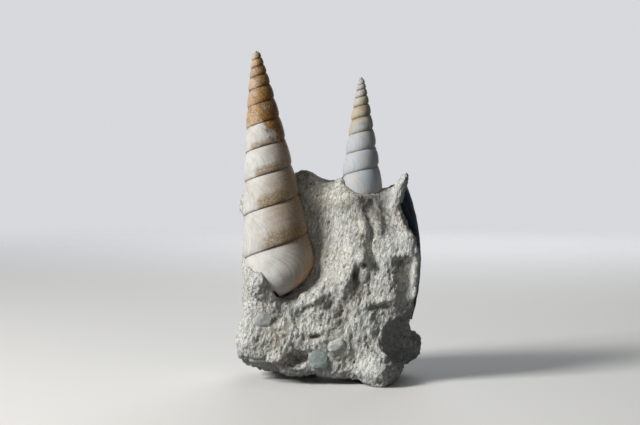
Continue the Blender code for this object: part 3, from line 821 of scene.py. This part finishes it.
CHIP_LOOKS = {
    "grey_chip": chip_material("grey shell", colour(144, 156, 155), colour(164, 175, 173), 0.03),
    "side_chip": chip_material("dull shell", colour(152, 152, 144), colour(186, 190, 190), 0.07),
    "pale_chip": chip_material("pale shell", colour(200, 204, 200), colour(222, 224, 221), 0.12),
}
print("chip colours:", [look.name for look in CHIP_LOOKS.values()])

# %% The three chips
CHIP_CUTS = 4
CHIP_WIDER = 1.10               # the chips are this much wider than the solids, up to the sediment's edge
CHIP_SINK = 0.10 * MM           # and lie this much deeper, flush with the sediment
CHIP_WEAR = 0.25 * MM           # how uneven their faces and edges are
SOLID_POINT = 0.01 * MM         # corners of a solid that are nearer than this are one


def worn_chip(node):
    """A bmesh of a solid chip, subdivided, rounded and worn."""
    chip = bmesh.new()
    chip.from_mesh(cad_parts[node].data)
    bmesh.ops.remove_doubles(chip, verts=chip.verts, dist=SOLID_POINT)
    bmesh.ops.subdivide_edges(chip, edges=chip.edges, cuts=CHIP_CUTS, use_grid_fill=True)
    bmesh.ops.smooth_vert(
        chip, verts=chip.verts, factor=0.5, use_axis_x=True, use_axis_y=True, use_axis_z=True)
    middle = sum((vert.co for vert in chip.verts), Vector()) / len(chip.verts)
    bmesh.ops.scale(
        chip, verts=chip.verts, vec=(CHIP_WIDER, 1.0, CHIP_WIDER), space=Matrix.Translation(-middle))
    chip.normal_update()
    worn = [noise.noise(vert.co * 450) + 0.5 * noise.noise(vert.co * 1300) for vert in chip.verts]
    for vert, wear in zip(chip.verts, worn):
        vert.co += vert.normal * wear * CHIP_WEAR
    bmesh.ops.translate(chip, verts=chip.verts, vec=(0, CHIP_SINK, 0))
    return chip


chips = [new_piece(node + "_polished", worn_chip(node), look, node)
         for node, look in CHIP_LOOKS.items()]

# %% [markdown]
# ## The block of sediment
#
# The solid block has the right lumps and ledges but large plain facets. Real sediment that was scraped and
# washed away around a fossil has long shallow grooves, flakes, knobs, pits and a sandy grain. A Displace
# modifier could push one texture into it, but it wouldn't know where the scraper went. So a copy of the solid
# is remeshed into small even faces and softened, and then every vertex is pushed along its normal by noises
# of falling size and by single strokes. Where the block meets a fossil its surface is drawn onto the fossil,
# because sediment clings.

# %% An even, fine mesh of the block
FINE = 0.59 * MM                # size of the faces
SOFTENING = 14                  # passes that round off the solid's facets


def fine_copy(node, face_size, passes):
    """A bmesh of a node's shape in small even faces."""
    bm = bmesh.new()
    bm.from_mesh(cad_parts[node].data)
    bmesh.ops.remove_doubles(bm, verts=bm.verts, dist=SOLID_POINT)
    mesh = bpy.data.meshes.new("rough copy")
    bm.to_mesh(mesh)
    bm.free()
    copy = bpy.data.objects.new("rough copy", mesh)
    bpy.context.scene.collection.objects.link(copy)
    remesh = copy.modifiers.new("even faces", "REMESH")
    remesh.mode = "VOXEL"
    remesh.voxel_size = face_size
    soften = copy.modifiers.new("soften", "SMOOTH")
    soften.factor = 0.5
    soften.iterations = passes
    bpy.context.view_layer.update()
    bm = bmesh.new()
    bm.from_object(copy, bpy.context.evaluated_depsgraph_get())
    bpy.data.objects.remove(copy)
    bpy.data.meshes.remove(mesh)
    return bm


bm = fine_copy("matrix", FINE, SOFTENING)
print("the block has", len(bm.verts), "vertices")

# %% Along the grooves
STREAK_LEAN = math.radians(10)  # the grooves lean to the right at their tops
TOOL_LEAN = math.radians(-52)   # the scraper's marks under the small shell run down to the right


def streaked(place, across, along, lean_angle=STREAK_LEAN):
    """A point of the block in units of a groove's width and length, which are in mm."""
    x, y, z = place / MM
    side = x * math.cos(lean_angle) - z * math.sin(lean_angle)
    run = x * math.sin(lean_angle) + z * math.cos(lean_angle)
    return Vector((side / across, y / across, run / along))


def creases(place, across, along, shift):
    """Sharp-edged ridges that run along the streaks, from about -1 to 1."""
    return 1 - 4 * abs(noise.noise(streaked(place, across, along) + Vector(shift)))


def flakes(place, across, along):
    """Plates with cracks between them: 0 in a crack, 1 on a plate."""
    distances, _ = noise.voronoi(streaked(place, across, along))
    return rise(distances[1] - distances[0], 0.0, 0.30)


print("grooves lean by", round(math.degrees(STREAK_LEAN)), "degrees")

# %% Grooves, flakes, grain and pits
SCRAPED = (18.0, 66.0, 6.5, 11.0, -52.0)    # x, height, half width, half height in mm, lean in degrees


def tool_marked(place):
    """How much of the scraper's marks a place shows, from 0 to 1."""
    return oval(place, SCRAPED) if place.y < 0 else 0.0


def pits(place, cells_per_metre, small, large, limit, shift):
    """Round pits, 1 in their middle, only in the cells whose own random number is above a limit."""
    distances, centres = noise.voronoi(place * cells_per_metre)
    return (1 - rise(distances[0], small, large)) * (noise.cell(centres[0] * shift) > limit)


def rock_height(place, rough):
    """How far the rock stands out at a place, in mm, where rough is 0 for scraped and 1 for broken rock."""
    lumps = 0.8 * noise.noise(streaked(place, 5.5, 12.0))
    ragged = 0.16 * creases(place, 2.6, 8.0, (17, 3, 5)) + 0.18 * creases(place, 1.4, 3.6, (4, 40, 9))
    ragged += 0.30 * flakes(place, 3.4, 6.5) + 0.24 * flakes(place + Vector((1, 0, 0)), 1.6, 2.8)
    marked = tool_marked(place)
    scraped = 0.40 * noise.noise(streaked(place, 1.1, 14.0) + Vector((2, 6, 0))) * (1 - marked)
    scraped += 0.65 * noise.noise(streaked(place, 1.0, 16.0, TOOL_LEAN)) * marked
    grain = mix(0.14, 0.28, rough) * noise.noise(streaked(place, 0.85, 1.9))
    grain += 0.14 * noise.noise(place * 2000)
    pit = 0.9 * pits(place, 150, 0.05, 0.12, 0.2, 7.3) + 0.45 * pits(place, 340, 0.12, 0.24, 0.3, 5.1)
    return lumps * rough + ragged * rough * rough + scraped * mix(1.0, 0.4, rough) + grain - pit


sample = Vector((14, -24, 55)) * MM
print("a point of the crest stands out by", round(rock_height(sample, 1.0), 2), "mm")

# %% Strokes of the chisel
# On the front, in mm and degrees: x, height, half width, half height, lean, how far out.
STROKES = {
    "upper edge of the crest": (13.6, 61.2, 1.5, 4.5, -8, 1.3),
    "second edge of the crest": (17.9, 56.3, 1.2, 3.6, 12, 1.0),
    "hollow between the edges": (15.7, 56.3, 1.0, 3.2, 5, -0.9),
    "knob": (11.7, 49.4, 1.7, 2.0, 10, 3.2),
    "hole in the knob": (13.1, 47.1, 0.8, 0.8, 0, -2.4),
    "pit below the knob": (10.1, 43.2, 1.2, 2.4, 15, -2.6),
    "foot of the crest": (6.6, 40.9, 1.6, 4.0, 15, 1.0),
    "overhang of the recess": (27.0, 50.6, 1.0, 4.4, 84, 1.1),
    "recess": (27.4, 47.4, 1.5, 3.8, 84, -1.2),
    "rim of the recess": (32.9, 42.8, 0.9, 8.0, 0, 0.8),
    "step on the right": (19.2, 30.2, 1.0, 5.0, 82, -1.4),
    "edge over the step": (19.7, 33.3, 1.1, 5.0, 82, 1.0),
    "ridge under the shell's lip": (-5.5, 33.7, 0.9, 3.4, 58, 1.4),
    "facet under that ridge": (-8.4, 30.1, 1.6, 2.4, 58, -1.3),
    "cavity": (-5.5, 19.4, 0.7, 2.0, 80, -2.4),
    "edge over the cavity": (-3.4, 21.9, 1.0, 2.8, 80, 0.9),
    "brow over the chip": (-0.6, 17.7, 0.9, 4.5, 86, 1.2),
    "hollow beside the left chip": (-21.0, 25.4, 1.2, 1.8, -20, -1.6),
    "edge of the lower ledge": (-25.0, 11.0, 2.2, 10.0, 88, 2.6),
    "undercut of the ledge": (-17.5, 8.0, 1.2, 11.0, 86, -1.0),
    "ridge of the front foot": (20.7, 11.4, 1.1, 4.5, 62, 1.1),
}
# Wider forms, which only bend the surface and leave its colour.
WIDE_FORMS = {
    "bed of the valley": (-1.5, 60.0, 4.0, 14.0, -6, -1.2),
    "face of the lower ledge": (-25.0, 15.0, 9.0, 4.5, 0, 0.9),
    "floor of the scoop": (18.6, 62.5, 2.4, 7.5, -14, 1.5),
    "face of the front foot": (11.0, 6.5, 12.0, 3.6, 0, 1.2),
}


def chiselled(place, normal, forms):
    """What forms add at a place; they only touch what faces the front."""
    facing = rise(-normal.y, 0.1, 0.6)
    if facing == 0 or place.y > 0:
        return 0.0
    return facing * sum(form[5] * oval(place, form[:5]) for form in forms.values())


print(len(STROKES), "strokes and", len(WIDE_FORMS), "wide forms")

# %% Rust, painted shade and roughness
# Where the sediment is browner, partly iron stain and partly painted shade, most of all along the valley: x,
# height, half width, half height, lean, how strongly.
RUST_AND_SHADE_SPOTS = {
    "beside the left chip": (-19.9, 22.3, 3.6, 8.0, 25, 1.2),
    "recess beside the grey chip": (-11.7, 10.3, 4.0, 3.0, 0, 1.3),
    "under the large shell's lip": (-14.8, 33.5, 5.0, 2.6, 20, 0.9),
    "cavity": (-5.5, 19.6, 2.4, 1.2, 0, 1.3),
    "pit in the valley": (1.0, 31.2, 1.5, 1.5, 0, 1.2),
    "foot of the small shell": (6.1, 76.8, 1.1, 3.0, -35, 1.2),
    # These last two are painted shade on the valley, which faces away from the key lamp.
    "top of the valley": (-8.0, 74.0, 6.0, 10.0, 0, 0.75),
    "bed of the valley": (-3.5, 56.0, 5.5, 15.0, 0, 0.50),
}


def rustiness(place, normal):
    """How brown the sediment is at a place, from 0 to 1, as iron stain and painted shade."""
    patchy = noise.noise(place * 330) + 0.6 * noise.noise(place * 900)
    elsewhere = 0.5 * rise(noise.noise(place * 55 + Vector((6, 1, 2))), 0.30, 0.55)
    here = max(chiselled(place, normal, RUST_AND_SHADE_SPOTS), elsewhere)
    return here * rise(patchy, -0.35, 0.35)


def roughness(place):
    """How rough the rock is at a place, from 0 to 1: scraped smooth around the shells, rough below."""
    x, _, z = place / MM
    smooth = 0.90 * bell(x, -3, 9) * rise(z, 33, 50)
    smooth = max(smooth, 0.65 * bell(x, 17, 12) * bell(z, 70, 9))
    return 1 - smooth


print("roughness of the valley:", round(roughness(Vector((-3, 0, 60)) * MM), 2))

# %% Where the block meets the fossils
FOSSILS = [large_shell, small_shell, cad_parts["bivalve_valve"], *chips]


def surface_of(piece):
    """A search tree of a piece's mesh."""
    bm = bmesh.new()
    bm.from_mesh(piece.data)
    found = BVHTree.FromBMesh(bm)
    bm.free()
    return found


fossil_surfaces = [surface_of(fossil) for fossil in FOSSILS]


def nearest_fossil(place, limit):
    """The nearest place on a fossil, its normal and its distance, which is the limit where none is near."""
    best = (None, None, None, limit)
    for surface in fossil_surfaces:
        found = surface.find_nearest(place, best[3])
        if found[0] is not None:
            best = found
    return best[0], best[1], best[3]


print("the sediment is drawn up to", len(fossil_surfaces), "fossils")

# %% Pressing it all in
ROCK_MIDDLE = 0.35              # the relief in mm at which the block keeps its size
NEAR_FOSSIL = 3.0 * MM          # how far a fossil is looked for
CLING = 1.0 * MM                # the block is drawn onto a fossil from this near
SUNK = 0.12 * MM                # and this far into its surface
HORN = Vector((28.0, 0.0, 80.5)) * MM        # the horn beside the valve is drawn out to a point
HORN_PULL = Vector((1.4, 0.0, 0.7)) * MM
HORN_REACH = 2.6 * MM
STANDS_AT = 0.4 * MM            # the underside below this height stands flat on the table


def pressed(place, normal, relief):
    """Where a vertex goes: out by its relief in mm, but onto a fossil or the table where one is near."""
    target, target_normal, distance = nearest_fossil(place, NEAR_FOSSIL)
    free = rise(distance, 0.5 * MM, 2.4 * MM) * rise(place.z, 0.3 * MM, 1.8 * MM)
    moved = place + normal * relief * free * MM
    if target is not None and distance < CLING:
        moved = moved.lerp(target - target_normal * SUNK, 1 - rise(distance / CLING, 0.5, 1.0))
    moved += HORN_PULL * bell(math.hypot(place.x - HORN.x, place.z - HORN.z), 0.0, HORN_REACH)
    moved.z = max(moved.z, 0.0)
    if place.z < STANDS_AT and normal.z < -0.7:
        moved.z = 0.0
    return moved


hollow_shade_layer = bm.verts.layers.float.new("low")
rust_layer = bm.verts.layers.float.new("rust")
marked_layer = bm.verts.layers.float.new("marked")
bm.normal_update()
moves = []
for vert in bm.verts:
    relief = rock_height(vert.co, roughness(vert.co)) - ROCK_MIDDLE
    relief += chiselled(vert.co, vert.normal, STROKES)
    # How low the relief lies here, which the shader paints darker as shade in the hollows.
    vert[hollow_shade_layer] = 1 - rise(relief, -1.4, 0.6)
    # Brown from iron, and painted shade along the valley and in some hollows.
    vert[rust_layer] = rustiness(vert.co, vert.normal)
    vert[marked_layer] = tool_marked(vert.co)
    relief += chiselled(vert.co, vert.normal, WIDE_FORMS)
    moves.append(pressed(vert.co, vert.normal, relief))
for vert, moved in zip(bm.verts, moves):
    vert.co = moved
print("relief pressed into", len(moves), "vertices")

# %% [markdown]
# ## The finish of the sediment
#
# Chalky sediment is a warm grey white, sandy and quite dull. A single colour would look like plaster, so the
# sand, the grain, the grooves and thin cracks each tint it a little, rust and painted shade in the hollows
# and along the valley tint it more, and the same patterns stand in the bump, so that a dark line is also a
# groove.

# %% The block's material
def sediment_material():
    """Pale, dull sediment: grain and grooves along the streaks, cracks, pores, rust, and painted shade in the
    hollows and along the valley.
    """
    material, tree, shader = new_material("pale sediment", 0.92, gloss=0.10)
    place = object_place(tree)

    def grooves(width, length, lean_angle=STREAK_LEAN):
        """Coordinates in units of a groove's width and length, which are in mm."""
        return stretched(tree, place, (width * MM, width * MM, length * MM), (0, lean_angle, 0))

    streaks = clouds(tree, grooves(0.9, 4.5), 1.0, 4.0, 0.6)
    scratches = clouds(tree, grooves(0.6, 4.0), 1.0, 2.0, 0.6)
    tool_marks = clouds(tree, grooves(0.50, 7.0, TOOL_LEAN), 1.0, 2.0, 0.6)
    grain = clouds(tree, grooves(0.70, 1.60), 1.0, 3.0, 0.7)
    sand = clouds(tree, grooves(0.42, 0.80), 1.0, 2.0, 0.6)
    wide = clouds(tree, place, 70.0, 3.0, 0.55)
    mottle = clouds(tree, place, 420.0, 4.0, 0.65)
    # Thin cracks between flakes: their cells are bent by the mottle, so that no crack runs straight.
    shift = add_node(tree, "ShaderNodeVectorMath", {0: mottle, 3: 1.6}, operation="SCALE").outputs[0]
    bent = add_node(tree, "ShaderNodeVectorMath", {0: grooves(1.3, 3.6), 1: shift}, operation="ADD")
    flake_cells = add_node(
        tree, "ShaderNodeTexVoronoi", {"Vector": bent.outputs[0], "Scale": 1.0}, feature="DISTANCE_TO_EDGE")
    cracks = ranged(tree, flake_cells.outputs["Distance"], 0.0, 0.13, 1.0, 0.0)
    cracks = times(tree, cracks, ranged(tree, grain, 0.38, 0.56, 0.15, 1.0))
    # Pores of uneven size, in some places and not in others.
    pore_cells = add_node(tree, "ShaderNodeTexVoronoi", {"Vector": place, "Scale": 420.0})
    pore_size = ranged(tree, mottle, 0.36, 0.60, -0.03, 0.16)
    pores = ranged(tree, maths(tree, "ADD", pore_cells.outputs["Distance"], pore_size), 0.10, 0.20, 1.0, 0.0)
    pores = times(tree, pores, ranged(tree, wide, 0.44, 0.56))

    # The colour: cooler low down, warmer in wide patches, then each tint over it.
    height = add_node(tree, "ShaderNodeSeparateXYZ", {0: place}).outputs["Z"]
    warm = maths(tree, "ADD", ranged(tree, height, 0.010, 0.040, -0.30, 0.0), ranged(tree, wide, 0.44, 0.66))
    tone = blended(tree, maths(tree, "MINIMUM", warm, 1.0), colour(226, 230, 227), colour(232, 229, 216))
    tone = blended(tree, ranged(tree, mottle, 0.40, 0.66), tone, colour(246, 246, 241))
    tone = blended(tree, ranged(tree, grain, 0.34, 0.48, 0.45, 0.0), tone, colour(158, 157, 147))
    tone = blended(tree, ranged(tree, sand, 0.36, 0.48, 0.40, 0.0), tone, colour(146, 144, 132))
    tone = blended(tree, ranged(tree, streaks, 0.34, 0.48, 0.25, 0.0), tone, colour(172, 170, 160))
    tone = blended(tree, times(tree, cracks, 0.55), tone, colour(100, 96, 82))
    # Iron stain, and painted shade along the valley and in some hollows.
    rust = times(tree, attribute(tree, "rust"), ranged(tree, grain, 0.36, 0.60, 1.0, 0.45))
    tone = blended(tree, maths(tree, "MINIMUM", rust, 0.85), tone, colour(124, 104, 70))
    # Painted shade: the lower the relief, the darker and browner.
    hollow_shade = ranged(tree, attribute(tree, "low"), 0.35, 1.0, 0.0, 0.60)
    tone = blended(tree, hollow_shade, tone, colour(114, 103, 82))
    tone = blended(tree, times(tree, pores, 0.80), tone, colour(74, 66, 52))
    tree.links.new(tone, shader.inputs["Base Color"])

    # The relief: the scraper's marks take the place of the scratches where they are.
    marked = attribute(tree, "marked")
    unmarked = maths(tree, "SUBTRACT", 1.0, marked)
    normal = raised(tree, streaks, 0.40 * MM)
    normal = raised(tree, times(tree, scratches, unmarked), 0.45 * MM, normal)
    normal = raised(tree, times(tree, tool_marks, marked), 1.1 * MM, normal)
    normal = raised(tree, mottle, 0.30 * MM, normal)
    normal = raised(tree, maths(tree, "SUBTRACT", 1.0, cracks), 0.20 * MM, normal)
    normal = raised(tree, maths(tree, "SUBTRACT", 1.0, pores), 0.30 * MM, normal)
    normal = raised(tree, grain, 0.45 * MM, normal)
    tree.links.new(raised(tree, sand, 0.25 * MM, normal), shader.inputs["Normal"])
    return material


pale_sediment = sediment_material()
print(pale_sediment.name, "has", len(pale_sediment.node_tree.nodes), "nodes")

# %% The block
new_piece("sediment_block", bm, pale_sediment, "matrix")

# %% [markdown]
# ## The table
#
# A plain pale floor that catches the specimen's shadow. It is stage, not part of the object. Seen from the
# front it would end in a hard line, so it fades into the wall with the distance. A white floor would also
# throw light up at the specimen, so only what is looked at is white, and the light finds it grey.

# %% The floor's material
FADE = (0.35, 1.10)             # the floor passes into the wall between these distances, in metres


def floor_material():
    """Pale to look at and grey to the light, and clear from a distance on."""
    material, tree, shader = new_material("pale floor", 0.8)
    tone = blended(tree, looked_at(tree), colour(118, 118, 116), colour(238, 238, 236))
    tree.links.new(tone, shader.inputs["Base Color"])
    distance = add_node(tree, "ShaderNodeVectorMath", {0: object_place(tree)}, operation="LENGTH")
    clear = add_node(tree, "ShaderNodeBsdfTransparent", {}).outputs[0]
    share = ranged(tree, distance.outputs["Value"], *FADE)
    faded = add_node(tree, "ShaderNodeMixShader", {0: share, 1: shader.outputs[0], 2: clear})
    tree.links.new(faded.outputs[0], tree.nodes["Material Output"].inputs["Surface"])
    return material


pale_floor = floor_material()
print(pale_floor.name, "fades from", FADE[0], "to", FADE[1], "metres")

# %% Floor
FLOOR_HALF = 2.5

bm = bmesh.new()
bmesh.ops.create_grid(bm, x_segments=1, y_segments=1, size=FLOOR_HALF)
mesh = bpy.data.meshes.new("floor")
bm.to_mesh(mesh)
bm.free()
floor = bpy.data.objects.new("floor", mesh)
bpy.context.scene.collection.objects.link(floor)
mesh.materials.append(pale_floor)
print("floor", tuple(round(side, 2) for side in floor.dimensions))
